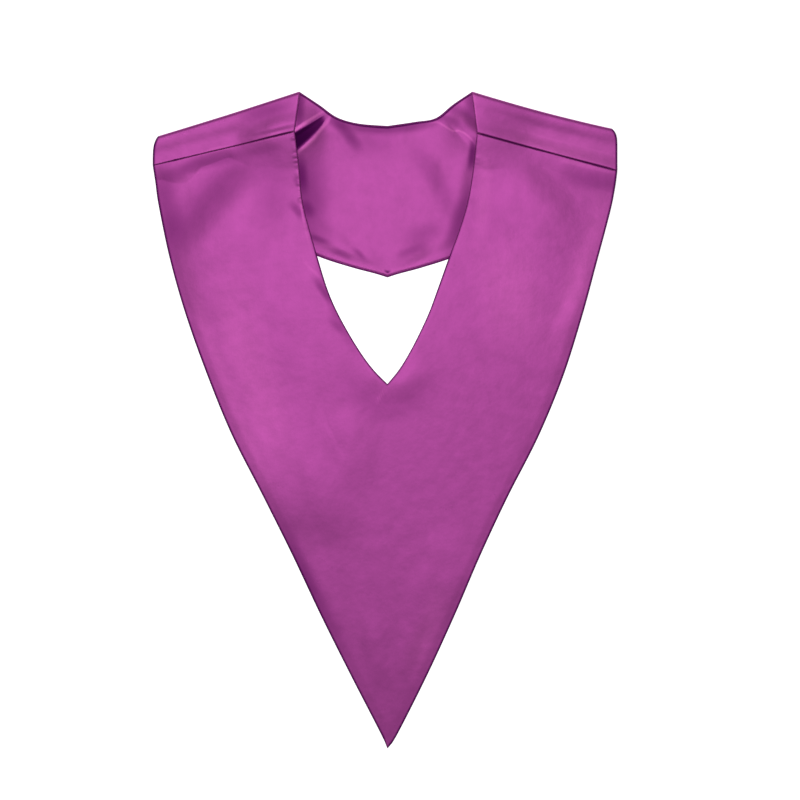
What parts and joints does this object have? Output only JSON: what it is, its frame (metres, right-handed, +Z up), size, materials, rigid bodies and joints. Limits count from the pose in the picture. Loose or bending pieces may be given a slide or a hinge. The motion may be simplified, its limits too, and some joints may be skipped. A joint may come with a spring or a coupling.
{
  "type": "graduation stole",
  "caption": "V-shaped satin stole with a pointed front panel, folded shoulder bands, a pointed back yoke and an open neck, laid flat and face up.",
  "frame": {"origin": "on the table, under the middle of the stole's bounding box", "axes": "+Y from the front point to the shoulders, +X to the right in the view from above, +Z up off the table"},
  "size_m": [0.432, 0.6106, 0.0127],
  "materials": {
    "satin": "smooth magenta-purple satin with a soft sheen",
    "satin_inside": "the same satin, a little duller"
  },
  "bodies": {
    "root": {"front_panel": "satin", "back_panel": "satin", "back_lining": "satin_inside", "shoulder_seam_left": "satin_inside", "shoulder_seam_right": "satin_inside"}
  },
  "joints": []
}
